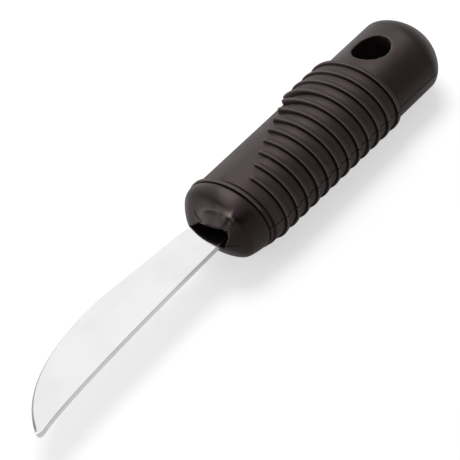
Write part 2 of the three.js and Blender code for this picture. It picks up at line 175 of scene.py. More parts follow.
class Bench:
    """Hand tools for modelling: selection, lofting, cutting and finishing."""

    @staticmethod
    def clear() -> None:
        """Leaves edit mode and deselects everything."""
        if bpy.context.object is not None and bpy.context.object.mode != "OBJECT":
            bpy.ops.object.mode_set(mode="OBJECT")
        bpy.ops.object.select_all(action="DESELECT")

    @classmethod
    def hold(cls, piece: Object) -> None:
        """Makes a piece the only selected object and the active one."""
        cls.clear()
        piece.select_set(True)
        bpy.context.view_layer.objects.active = piece

    @classmethod
    def edit_all(cls, piece: Object) -> None:
        """Opens a piece in edit mode with everything selected."""
        cls.hold(piece)
        bpy.ops.object.mode_set(mode="EDIT")
        bpy.ops.mesh.select_all(action="SELECT")

    @classmethod
    def add(cls, name: str, primitive: Callable[..., object], **options: object) -> Object:
        """Adds a piece.

        Args:
            name: Name of the piece.
            primitive: Operator that adds it.
            options: Options of the operator.

        Returns:
            The new object, with its place, turn and scale moved into its mesh.
        """
        cls.clear()
        primitive(**options)
        piece = bpy.context.object
        piece.name = name
        piece.data.name = name
        bpy.ops.object.transform_apply(location=True, rotation=True, scale=True)
        return piece

    @classmethod
    def loft(cls, name: str, rings: Sequence[Ring], columns: int, frame: HandleFrame) -> Object:
        """Draws a skin along the handle from one oval section to the next.

        Args:
            name: Name of the new piece.
            rings: Sections in order.
            columns: Points round a section.
            frame: Frame of the handle.

        Returns:
            A skin that is open at both ends, in edit mode, its last ring selected.
        """
        start = rings[0].x
        piece = cls.add(
            name,
            bpy.ops.mesh.primitive_circle_add,
            vertices=columns,
            radius=MM,
            location=frame.at(start),
            rotation=(0.0, math.pi / 2, 0.0),
        )
        cls.edit_all(piece)
        before = Ring(start, 1.0, 1.0)
        for index, ring in enumerate(rings):
            if index:
                bpy.ops.mesh.extrude_edges_move(
                    TRANSFORM_OT_translate={"value": ((ring.x - before.x) * MM, 0.0, 0.0)}
                )
            wider = ring.half_width / before.half_width
            higher = ring.half_height / before.half_height
            bpy.ops.transform.resize(value=(1.0, wider, higher), center_override=frame.at(ring.x))
            before = ring
        return piece

    @classmethod
    def close_ends(cls, bridged: bool) -> None:
        """Closes a loft that is in edit mode: bridges its open ends or fills each of them."""
        if not bridged:
            bpy.ops.mesh.edge_face_add()
        bpy.ops.mesh.select_all(action="DESELECT")
        bpy.ops.mesh.select_non_manifold()
        if bridged:
            bpy.ops.mesh.bridge_edge_loops()
        else:
            bpy.ops.mesh.edge_face_add()
        cls.face_outward()

    @staticmethod
    def face_outward() -> None:
        """Turns all faces of the piece in edit mode outward and leaves edit mode."""
        bpy.ops.mesh.select_all(action="SELECT")
        bpy.ops.mesh.normals_make_consistent(inside=False)
        bpy.ops.object.mode_set(mode="OBJECT")

    @classmethod
    def apply(cls, piece: Object) -> None:
        """Applies all modifiers of a piece in order."""
        cls.hold(piece)
        for modifier in list(piece.modifiers):
            bpy.ops.object.modifier_apply(modifier=modifier.name)

    @classmethod
    def cut(cls, piece: Object, tools: Sequence[Object]) -> None:
        """Cuts tools out of a piece and puts the tools away.

        Args:
            piece: Closed body to cut.
            tools: Closed cutters, which are deleted.
        """
        for tool in tools:
            modifier = piece.modifiers.new(tool.name, "BOOLEAN")
            modifier.operation = "DIFFERENCE"
            modifier.solver = "EXACT"
            modifier.object = tool
        cls.apply(piece)
        for tool in tools:
            cls.drop(tool)

    @staticmethod
    def drop(piece: Object) -> None:
        """Deletes a helper object with its mesh."""
        mesh = piece.data
        bpy.data.objects.remove(piece)
        bpy.data.meshes.remove(mesh)

    @classmethod
    def copy(cls, source: Object, name: str) -> Object:
        """Returns a separate copy of a piece with a mesh of its own."""
        cls.clear()
        twin = source.copy()
        twin.data = source.data.copy()
        twin.parent = None
        for key in [k for k in twin.keys() if k.startswith("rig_")]:
            del twin[key]
        twin.name = name
        twin.data.name = name
        bpy.context.scene.collection.objects.link(twin)
        return twin

    @classmethod
    def smooth(cls, piece: Object, angle: float) -> None:
        """Shades a piece smooth except across edges sharper than an angle in degrees."""
        cls.hold(piece)
        bpy.ops.object.shade_smooth_by_angle(angle=math.radians(angle))

    @staticmethod
    def layers(piece: Object, names: Sequence[str]) -> list[Attribute]:
        """Returns new layers of values on the points of a piece."""
        for name in names:
            piece.data.attributes.new(name, "FLOAT", "POINT")
        return [piece.data.attributes[name] for name in names]


class NodeSheet:
    """Adds and links the nodes of one shader tree."""

    def __init__(self, tree: NodeTree) -> None:
        """Starts from an empty tree."""
        self.tree = tree
        self.tree.nodes.clear()

    @classmethod
    def of_material(cls, name: str) -> tuple[Material, NodeSheet]:
        """Returns a new material and the sheet of its tree."""
        made = bpy.data.materials.new(name)
        made.use_nodes = True
        return made, cls(made.node_tree)

    def add(self, kind: str, inputs: Inputs | None = None, **settings: object) -> Node:
        """Adds a node.

        Args:
            kind: Type name of the node.
            inputs: Values or source sockets by input name or index.
            settings: Attributes of the node, which are set first.

        Returns:
            The new node.
        """
        node = self.tree.nodes.new(kind)
        for key, value in settings.items():
            setattr(node, key, value)
        for key, value in (inputs or {}).items():
            if isinstance(value, NodeSocket):
                self.tree.links.new(value, node.inputs[key])
            else:
                node.inputs[key].default_value = value
        return node

    def math(self, operation: str, first: object, second: object = 0.0) -> NodeSocket:
        """Returns the output of a math node on two values or sockets."""
        return self.add("ShaderNodeMath", {0: first, 1: second}, operation=operation).outputs[0]

    def span(self, value: object, source: Pair, target: Pair, soft: bool = False) -> NodeSocket:
        """Maps a value from one range to another.

        Args:
            value: Value or socket.
            source: Lowest and highest value that comes in.
            target: Values that go out for these.
            soft: True for a soft step between the two.

        Returns:
            The mapped socket, held within the target.
        """
        return self.add(
            "ShaderNodeMapRange",
            {0: value, 1: source[0], 2: source[1], 3: target[0], 4: target[1]},
            interpolation_type="SMOOTHSTEP" if soft else "LINEAR",
        ).outputs[0]

    def blend(self, share: object, first: object, second: object) -> NodeSocket:
        """Returns a colour mixed from two colours or sockets."""
        parts = {0: share, 6: first, 7: second}
        return self.add("ShaderNodeMix", parts, data_type="RGBA").outputs[2]

    def noise(self, place: NodeSocket, scale: object, detail: float, rough: float) -> NodeSocket:
        """Returns the value of a noise texture."""
        inputs = {"Vector": place, "Scale": scale, "Detail": detail, "Roughness": rough}
        return self.add("ShaderNodeTexNoise", inputs).outputs[0]

    def effect(self, tree: NodeTree, inputs: Inputs) -> bpy.types.NodeOutputs:
        """Returns the outputs of a shared effect, placed with values of its own."""
        return self.add("ShaderNodeGroup", inputs, node_tree=tree).outputs

    def surface(self, height: NodeSocket, bump: float, reach: float, inputs: Inputs) -> None:
        """Ends a material with a Principled shader on a fine relief.

        Args:
            height: Height of the relief.
            bump: Strength of the relief.
            reach: Full height of the relief in millimetres.
            inputs: The other inputs of the shader.
        """
        relief = self.add(
            "ShaderNodeBump", {"Strength": bump, "Distance": reach * MM, "Height": height}
        )
        shader = self.add("ShaderNodeBsdfPrincipled", {**inputs, "Normal": relief.outputs[0]})
        self.add("ShaderNodeOutputMaterial", {"Surface": shader.outputs[0]})


class SharedEffects:
    """Shader node groups that several finishes use, each made once."""

    pit_rim: Pair = (0.05, 0.5)
    pit_floor: float = 0.7
    grain_share: float = 0.25
    rubber_tone: Pair = (0.3, 0.7)
    line_edge: Pair = (0.4, 1.0)
    steel_tone: Pair = (0.35, 0.65)

    @staticmethod
    def _open(
        name: str, inputs: dict[str, object], outputs: Sequence[str]
    ) -> tuple[NodeSheet, list[NodeSocket]]:
        """Starts a group.

        Args:
            name: Name of the group.
            inputs: Default of each input by name, a tuple for a vector.
            outputs: Names of the value outputs.

        Returns:
            The sheet of the group and the sockets of its inputs.
        """
        tree = bpy.data.node_groups.new(name, "ShaderNodeTree")
        for label, default in inputs.items():
            kind = "NodeSocketVector" if isinstance(default, tuple) else "NodeSocketFloat"
            socket = tree.interface.new_socket(label, in_out="INPUT", socket_type=kind)
            socket.default_value = default
        for label in outputs:
            tree.interface.new_socket(label, in_out="OUTPUT", socket_type="NodeSocketFloat")
        sheet = NodeSheet(tree)
        given = sheet.add("NodeGroupInput")
        return sheet, [given.outputs[label] for label in inputs]

    @classmethod
    @cache
    def moulded_grain(cls) -> NodeTree:
        """Returns the group for the fine grain and cloudy tone of moulded rubber."""
        sheet, (place, fine, wide) = cls._open(
            "moulded_grain",
            {"Vector": ORIGIN, "Grain Scale": 2600.0, "Cloud Scale": 90.0},
            ["Height", "Tone"],
        )
        grain = sheet.noise(place, fine, detail=2.0, rough=0.6)
        cloud = sheet.noise(place, wide, detail=4.0, rough=0.55)
        pits = sheet.add("ShaderNodeTexVoronoi", {"Vector": place, "Scale": fine}, feature="F1")
        dimple = sheet.span(pits.outputs["Distance"], cls.pit_rim, UNIT)
        dimple = sheet.span(dimple, UNIT, (cls.pit_floor, 1.0))
        tone = sheet.math(
            "ADD",
            sheet.math("MULTIPLY", cloud, 1.0 - cls.grain_share),
            sheet.math("MULTIPLY", grain, cls.grain_share),
        )
        sheet.add(
            "NodeGroupOutput",
            {
                "Height": sheet.math("MULTIPLY", grain, dimple),
                "Tone": sheet.span(tone, cls.rubber_tone, UNIT, soft=True),
            },
        )
        return sheet.tree

    @classmethod
    @cache
    def parting_line(cls) -> NodeTree:
        """Returns the group for the hairline where two mould halves meet."""
        sheet, (place, level, slope, half_width) = cls._open(
            "parting_line",
            {"Vector": ORIGIN, "Level": 0.0, "Slope": 0.0, "Half Width": 0.1 * MM},
            ["Mask"],
        )
        spot = sheet.add("ShaderNodeSeparateXYZ", {0: place})
        fall = sheet.math("MULTIPLY", spot.outputs[0], slope)
        away = sheet.math("SUBTRACT", spot.outputs[2], sheet.math("ADD", level, fall))
        share = sheet.math("DIVIDE", sheet.math("ABSOLUTE", away), half_width)
        mask = sheet.span(share, cls.line_edge, (1.0, 0.0), soft=True)
        sheet.add("NodeGroupOutput", {"Mask": mask})
        return sheet.tree

    @classmethod
    @cache
    def ground_lines(cls) -> NodeTree:
        """Returns the group for the fine lines that a grinding belt leaves on steel."""
        sheet, (place, stretch) = cls._open(
            "ground_lines",
            {"Vector": ORIGIN, "Stretch": Grind.LENGTHWISE.value},
            ["Height", "Tone"],
        )
        drawn = sheet.add("ShaderNodeVectorMath", {0: place, 1: stretch}, operation="MULTIPLY")
        fine = sheet.noise(drawn.outputs[0], scale=1.0, detail=3.0, rough=0.65)
        cloud = sheet.noise(place, scale=45.0, detail=3.0, rough=0.5)
        tone = sheet.span(cloud, cls.steel_tone, UNIT, soft=True)
        sheet.add("NodeGroupOutput", {"Height": fine, "Tone": tone})
        return sheet.tree


@dataclass(frozen=True)
class RubberFinish:
    """Dark satin rubber with a fine moulded grain, a parting line, painted highlights and painted
    shade.
    """

    name: str
    deep: Colour
    pale: Colour
    crest_tint: Colour
    rough: Pair
    grain_scale: float
    bump: float
    line_level: float
    line_blank: Pair = (0.0, 0.0)
    line_slope: float = 0.018
    line_half_width: float = 0.32
    line_fade: float = 2.0
    line_rough: float = 0.95
    line_depth: float = 2.0
    gloss: float = 0.29
    # share of gloss kept where shade is painted
    shade_gloss: float = 0.3
    sheen: float = 0.08
    sheen_rough: float = 0.28
    glint: Colour = (1.0, 0.76, 0.76, 1.0)
    # colour of painted highlights on rib crest edges, the collar's edge, the nose's ridge and the
    # hole's rim
    highlight_paint: Colour = (0.46, 0.39, 0.34, 1.0)
    # colour of painted shade at rib feet and in the nose's crease, and of the dark parting line
    shade_and_seam_paint: Colour = (0.003, 0.0022, 0.002, 1.0)
    # share of a set tint on the rib crests
    crest_tint_share: float = 0.6
    highlight_share: float = 0.9
    bump_reach: float = 0.05
    crest: str = "rib_crest"
    # point layers that carry the painted highlight and the painted shade
    edge: str = "painted_highlight"
    painted_shade: str = "painted_shade_mask"

    def _line(self, sheet: NodeSheet, place: NodeSocket) -> NodeSocket:
        """Returns the mask of the parting line, which fades out where it is left blank."""
        mask = sheet.effect(
            SharedEffects.parting_line(),
            {
                "Vector": place,
                "Level": self.line_level,
                "Slope": self.line_slope,
                "Half Width": self.line_half_width * MM,
            },
        )["Mask"]
        along = sheet.add("ShaderNodeSeparateXYZ", {0: place}).outputs[0]
        low, high = self.line_blank
        run = self.line_fade * MM
        shown = sheet.math(
            "MAXIMUM",
            sheet.span(along, (low, low + run), (1.0, 0.0)),
            sheet.span(along, (high - run, high), UNIT),
        )
        return sheet.math("MULTIPLY", mask, shown)

    def material(self) -> Material:
        """Returns the finish as a material."""
        made, sheet = NodeSheet.of_material(self.name)
        place = sheet.add("ShaderNodeTexCoord").outputs["Object"]
        grain = sheet.effect(
            SharedEffects.moulded_grain(), {"Vector": place, "Grain Scale": self.grain_scale}
        )
        line = self._line(sheet, place)
        crest, edge, painted_shade = (
            sheet.add("ShaderNodeAttribute", attribute_name=name).outputs["Fac"]
            for name in (self.crest, self.edge, self.painted_shade)
        )
        colour = sheet.blend(grain["Tone"], self.deep, self.pale)
        # a set tint on the crests, then the painted highlight, then painted shade and the dark
        # parting line
        for share, paint in (
            (sheet.math("MULTIPLY", crest, self.crest_tint_share), self.crest_tint),
            (sheet.math("MULTIPLY", edge, self.highlight_share), self.highlight_paint),
            (sheet.math("MAXIMUM", painted_shade, line), self.shade_and_seam_paint),
        ):
            colour = sheet.blend(share, colour, paint)
        rough = sheet.math(
            "MAXIMUM",
            sheet.span(grain["Tone"], UNIT, self.rough),
            sheet.math("MULTIPLY", line, self.line_rough),
        )
        notch = sheet.math("MULTIPLY", line, self.line_depth)
        sheet.surface(
            sheet.math("SUBTRACT", grain["Height"], notch),
            self.bump,
            self.bump_reach,
            {
                "Base Color": colour,
                "Roughness": rough,
                # less gloss where shade is painted
                "Specular IOR Level": sheet.span(
                    painted_shade, UNIT, (self.gloss, self.shade_gloss * self.gloss)
                ),
                "Specular Tint": self.glint,
                "Sheen Weight": self.sheen,
                "Sheen Roughness": self.sheen_rough,
                "Sheen Tint": self.glint,
            },
        )
        return made


@dataclass(frozen=True)
class SteelFinish:
    """Stainless steel with the fine lines of its last grinding pass."""

    name: str
    deep: Colour
    pale: Colour
    rough: Pair
    bump: float
    grind: Grind = Grind.LENGTHWISE
    line_heights: Pair = (0.3, 0.7)
    bump_reach: float = 0.01

    def material(self) -> Material:
        """Returns the finish as a material."""
        made, sheet = NodeSheet.of_material(self.name)
        place = sheet.add("ShaderNodeTexCoord").outputs["Object"]
        lines = sheet.effect(
            SharedEffects.ground_lines(), {"Vector": place, "Stretch": self.grind.value}
        )
        sheet.surface(
            lines["Height"],
            self.bump,
            self.bump_reach,
            {
                "Base Color": sheet.blend(lines["Tone"], self.deep, self.pale),
                "Metallic": 1.0,
                "Roughness": sheet.span(lines["Height"], self.line_heights, self.rough),
            },
        )
        return made


BLADE_STEELS = (
    SteelFinish(
        "blade_satin", (0.82, 0.82, 0.82, 1.0), (0.87, 0.87, 0.87, 1.0),
        rough=(0.05, 0.1), bump=0.03,
    ),
    SteelFinish(
        "spine_sheared", (0.82, 0.82, 0.83, 1.0), (0.9, 0.9, 0.91, 1.0),
        rough=(0.14, 0.22), bump=0.1, grind=Grind.CROSSWISE,
    ),
    SteelFinish(
        "edge_honed", (0.5, 0.5, 0.51, 1.0), (0.66, 0.66, 0.67, 1.0),
        rough=(0.16, 0.26), bump=0.08, grind=Grind.CROSSWISE,
    ),
)
PIN_STEEL = SteelFinish(
    "pin_drawn", (0.5, 0.5, 0.5, 1.0), (0.62, 0.62, 0.62, 1.0),
    rough=(0.25, 0.4), bump=0.08, grind=Grind.ROUND,
)


@dataclass
class HandleCore:
    """Two moulded shells: tail with its hanging hole, hidden seat, and nose with its mouth.

    Sizes are in millimetres. Lines on the front of the nose are given across and up.
    """

    frame: HandleFrame
    finish: RubberFinish
    columns: int = 160
    tail_end: float = -100.6
    tail_half: Pair = (17.0, 11.75)
    tail_drop: float = 0.45
    tail_slant: float = 0.2
    dome_length: float = 11.3
    dome_power: float = 1.65
    dome_rows: int = 22
    flat_share: float = 0.1
    seat: Pair = (-66.7, -0.6)
    seat_half: Pair = (14.2, 9.5)
    nose_half: Pair = (16.0, 11.1)
    nose_lift: float = 0.35
    nose_front: float = 10.8
    nose_slant: float = 0.17
    nose_depth: float = 6.3
    nose_radial: float = 8.1
    nose_power: float = 1.25
    nose_rows: int = 20
    flare: Pair = (0.5, 1.2)
    flare_rows: int = 8
    joint_groove: Pair = (0.25, 1.0)
    pocket: Polyline = (
        (-5.4, 5.4), (-2.5, 7.3), (1.0, 8.4), (4.0, 8.6), (7.2, 8.2), (9.4, 7.3), (11.5, 5.5),
        (12.0, 2.5), (-1.4, 2.5),
    )
    pocket_depth: float = 0.95
    pocket_edge: Pair = (-0.75, 0.75)
    pocket_left: Pair = (-4.0, 5.0)
    pocket_right: Pair = (6.8, 11.0)
    pocket_ahead: float = 0.2
    crease: Polyline = (
        (8.6, 8.9), (10.85, 7.5), (12.25, 7.2), (13.3, 6.5), (14.2, 5.45), (15.1, 4.1),
    )
    crease_depth: float = 0.9
    crease_edge: Pair = (-0.3, 0.3)
    crease_reach: float = 4.5
    crease_start: Pair = (0.0, 0.1)
    # painted shade along the crease: its reach, and where along it the shade rises and fades
    crease_shade: float = 1.5
    crease_dark: Pair = (0.15, 0.275)
    crease_pale: Pair = (1.0 / 3.0, 1.0)
    # a thin line painted dark at the pocket's left end
    left_dark_line: Polyline = ((-5.2, 6.35), (-1.5, 5.0))
    left_dark_reach: float = 0.75
    # painted highlight along the brow ridge over the pocket, brightest at its right end
    ridge: Polyline = (
        (1.6, 10.0), (3.2, 9.96), (5.2, 9.75), (7.2, 9.39), (9.2, 8.6),
    )
    ridge_shine: float = 1.15
    ridge_rise: Pair = (0.2, 0.45)
    ridge_base: float = 0.15
    ridge_power: int = 8
    # painted highlight round the hanging hole's rim: its reach and strength
    rim_shine: float = 0.6
    rim_level: float = 0.22
    front_inset: float = 2.0
    press_floor: float = 1.0
    press_facing: float = -0.3
    tone_floor: float = 3.0
    tone_facing: float = 0.3
    tone_toward: Triple = (1.0, 1.0, 1.0)
    line_blank: Pair = (-66.0, 10.5)
    mouth_outline: Polyline = (
        (8.3, -1.1), (8.6, 0.4), (9.5, 1.6), (9.8, 2.8), (9.5, 3.9), (8.7, 4.6), (7.4, 4.8),
        (3.0, 4.5), (-1.2, 4.3), (-2.6, 4.0), (-4.4, 2.9), (-6.9, 1.2), (-8.2, 0.85),
        (-8.3, -1.1),
    )
    mouth_span: Pair = (-5.0, 16.0)
    hole_x: float = -77.6
    hole_radius: float = 6.6
    tang_span: Pair = (-51.8, -4.5)
    tang_half: Pair = (5.9, 1.1)
    pin_stations: Pair = (-14.0, -43.0)
    pin_hole: Pair = (2.1, 6.3)
    drill_sides: int = 96
    voxel: float = 0.34
    soften: int = 5
    soften_share: float = 0.5
    sharp_angle: float = 50.0
    halves: dict[Half, Object] = field(default_factory=dict)

    @staticmethod
    def _quarter(step: float, power: float) -> Pair:
        """Returns the shares along and across of a rounded end at a step from 0 to 1."""
        angle = math.pi / 2 * step
        along = 1.0 - max(math.cos(angle), 0.0) ** (2.0 / power)
        return along, math.sin(angle) ** (2.0 / power)

    def _rings(self) -> list[Ring]:
        """Returns the oval sections from the tail's end to the nose's front."""
        wide, high = self.tail_half
        rings = [Ring(self.tail_end, wide * self.flat_share, high * self.flat_share)]
        for row in range(1, self.dome_rows + 1):
            along, across = self._quarter(row / self.dome_rows, self.dome_power)
            if across > self.flat_share:
                rings.append(
                    Ring(self.tail_end + self.dome_length * along, wide * across, high * across)
                )
        rear, front = self.seat
        rings.append(Ring(rear, wide, high))
        rings += [Ring(x, *self.seat_half) for x in self.seat]
        wide, high = self.nose_half
        width, depth = self.joint_groove
        start = front + width
        rings += [Ring.inset(x, self.nose_half, depth) for x in (front, start)]
        barrel = self.nose_front - self.nose_depth - start
        for row in range(self.flare_rows):
            step = row / self.flare_rows
            more, taller = (part * (1.0 - step * step) for part in self.flare)
            rings.append(Ring(start + barrel * step, wide + more, high + taller))
        for row in range(self.nose_rows, -1, -1):
            along, across = self._quarter(row / self.nose_rows, self.nose_power)
            x = self.nose_front - self.nose_depth * along
            rings.append(Ring.inset(x, self.nose_half, self.nose_radial * (1.0 - across)))
        return rings

    def _lean_ends(self, body: Object) -> None:
        """Lowers the tail and lifts the nose a little, and leans their ends."""
        stations = [ring.x for ring in self._rings()]
        rear, front = self.seat
        tail = sum(x < rear for x in stations) + 1
        nose = sum(x <= front for x in stations) - 1
        dome = self.tail_end + self.dome_length
        barrel = self.nose_front - self.nose_depth - front
        for index, vertex in enumerate(body.data.vertices):
            spot = self.frame.local(vertex.co)
            if index < tail * self.columns:
                lean = self.tail_slant if spot.x < dome + TOUCH else 0.0
                rise = -self.tail_drop
            elif index >= nose * self.columns:
                share = min((spot.x - front) / barrel, 1.0)
                lean, rise = self.nose_slant * share, self.nose_lift * share
            else:
                continue
            vertex.co = self.frame.at(spot.x + lean * spot.y, spot.y, spot.z + rise)

    def _mouth(self) -> Object:
        """Returns the cutter of the opening that the blade enters."""
        rear, front = self.mouth_span
        tool = Bench.add(
            "mouth_cutter",
            bpy.ops.mesh.primitive_circle_add,
            vertices=len(self.mouth_outline),
            radius=MM,
            fill_type="NGON",
        )
        for vertex, (y, z) in zip(tool.data.vertices, self.mouth_outline):
            vertex.co = self.frame.at(rear, y, z)
        Bench.edit_all(tool)
        bpy.ops.mesh.extrude_region_move(
            TRANSFORM_OT_translate={"value": ((front - rear) * MM, 0.0, 0.0)}
        )
        Bench.face_outward()
        return tool

    def _pocket_share(self, flat: Vector) -> float:
        """Returns the share of the pocket's depth at a point of the nose, across and up."""
        inset, _ = self._follow(self.pocket + self.pocket[:1], flat)
        sides = ramp(flat.x, *self.pocket_left) * (1.0 - ramp(flat.x, *self.pocket_right))
        return ramp(inset, *self.pocket_edge) * sides

    @staticmethod
    def _follow(path: Polyline, flat: Vector) -> Pair:
        """Follows a path across the front of the nose.

        Args:
            path: Knots of the path, across and up.
            flat: Point to look from, across and up.

        Returns:
            The distance to the right of the path, negative to its left, and the share along it.
        """
        knots = [Vector(knot) for knot in path]
        best = (math.inf, 0.0, 1.0)
        for index, (start, end) in enumerate(zip(knots, knots[1:])):
            side = end - start
            share = min(max((flat - start).dot(side) / side.length_squared, 0.0), 1.0)
            away = flat - start - side * share
            sign = 1.0 if side.x * away.y - side.y * away.x < 0.0 else -1.0
            best = min(best, (away.length, index + share, sign))
        return best[0] * best[2], best[1] / (len(knots) - 1)

    def _crease_share(self, flat: Vector) -> float:
        """Returns the share of the crease's depth at a point of the nose, across and up."""
        distance, along = self._follow(self.crease, flat)
        ends = ramp(along, *self.crease_start) * (1.0 - smoothstep(along))
        step = ramp(distance, *self.crease_edge)
        return step * fade_out(distance, self.crease_reach) * ends

    def _on_front(self, spot: Vector, floor: float) -> bool:
        """Tells whether a point lies on the front of the nose and not under a floor."""
        return spot.x >= self.seat[1] + self.front_inset and spot.z >= floor

    def _tone_edges(self, body: Object) -> None:
        """Paints highlight on the hole's rim and along the nose's ridge, shade in the nose's
        crease, and a thin dark line at the pocket's left end.
        """
        edge, painted_shade = Bench.layers(body, (self.finish.edge, self.finish.painted_shade))
        for index, vertex in enumerate(body.data.vertices):
            spot = self.frame.local(vertex.co)
            rim = math.hypot(spot.x - self.hole_x, spot.y) - self.hole_radius
            # painted highlight round the hanging hole's rim
            if vertex.normal.z > self.tone_facing:
                edge.data[index].value = self.rim_level * fade_out(rim, self.rim_shine)
            facing = vertex.normal.dot(self.tone_toward)
            if not self._on_front(spot, self.tone_floor) or facing < self.tone_facing:
                continue
            # painted highlight along the nose's ridge
            distance, along = self._follow(self.ridge, spot.yz)
            lit = self.ridge_base + (1.0 - self.ridge_base) * along**self.ridge_power
            lit *= ramp(along, *self.ridge_rise)
            edge.data[index].value = lit * fade_out(distance, self.ridge_shine)
            # painted shade in the crease, and the thin dark line at the pocket's left end
            distance, along = self._follow(self.crease, spot.yz)
            dark = ramp(along, *self.crease_dark) * (1.0 - ramp(along, *self.crease_pale))
            dark *= fade_out(distance, self.crease_shade)
            left_dark_line = fade_out(self._follow(self.left_dark_line, spot.yz)[0], self.left_dark_reach)
            painted_shade.data[index].value = max(dark, left_dark_line)

    def _press_front(self, body: Object) -> None:
        """Presses in the pocket over the mouth and the crease beside it."""
        normals = [vertex.normal.copy() for vertex in body.data.vertices]
        for vertex, normal in zip(body.data.vertices, normals):
            spot = self.frame.local(vertex.co)
            if not self._on_front(spot, self.press_floor) or normal.z < self.press_facing:
                continue
            depth = self.crease_depth * self._crease_share(spot.yz)
            if normal.x > self.pocket_ahead:
                depth += self.pocket_depth * self._pocket_share(spot.yz)
            vertex.co -= normal * depth * MM

    def _drill(self, x: float, radius: float, half_length: float) -> Object:
        """Returns the cutter of an upright round hole."""
        return Bench.add(
            "drill",
            bpy.ops.mesh.primitive_cylinder_add,
            vertices=self.drill_sides,
            radius=radius * MM,
            depth=2 * half_length * MM,
            location=self.frame.at(x),
        )

    def _tang_slot(self) -> Object:
        """Returns the cutter of the slot that holds the tang."""
        rear, front = self.tang_span
        return Bench.add(
            "tang_cutter",
            bpy.ops.mesh.primitive_cube_add,
            size=2.0,
            location=self.frame.at((rear + front) / 2),
            scale=Vector(((front - rear) / 2, *self.tang_half)) * MM,
        )

    def _split(self, body: Object, half: Half) -> Object:
        """Returns one shell of the whole core, closed on the parting plane."""
        shell = Bench.copy(body, f"{half.value}_shell")
        Bench.edit_all(shell)
        bpy.ops.mesh.bisect(
            plane_co=self.frame.at(0.0),
            plane_no=(0.0, 0.0, 1.0),
            use_fill=True,
            clear_inner=half is Half.UPPER,
            clear_outer=half is Half.LOWER,
        )
        bpy.ops.object.mode_set(mode="OBJECT")
        Bench.smooth(shell, self.sharp_angle)
        return shell

    def build(self) -> None:
        """Models the whole core and parts it into its two shells."""
        body = Bench.loft("core_body", self._rings(), self.columns, self.frame)
        Bench.close_ends(bridged=False)
        self._lean_ends(body)
        through = 2 * self.tail_half[1]
        hole = self._drill(self.hole_x, self.hole_radius, through)
        pins = [self._drill(x, *self.pin_hole) for x in self.pin_stations]
        Bench.cut(body, [self._mouth(), hole, self._tang_slot(), *pins])
        remesh = body.modifiers.new("even_skin", "REMESH")
        remesh.mode = "VOXEL"
        remesh.voxel_size = self.voxel * MM
        Bench.apply(body)
        self._press_front(body)
        soften = body.modifiers.new("moulded_edges", "SMOOTH")
        soften.factor = self.soften_share
        soften.iterations = self.soften
        Bench.apply(body)
        self._tone_edges(body)
        for half in Half:
            self.halves[half] = self._split(body, half)
        Bench.drop(body)

    def dress(self) -> None:
        """Gives both shells their finish and seats them on the body."""
        material = self.finish.material()
        for half, shell in self.halves.items():
            shell.data.materials.clear()
            shell.data.materials.append(material)
            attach(shell, BODY)
            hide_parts(half.value)
            LOG.info("%s: %d faces", shell.name, len(shell.data.polygons))


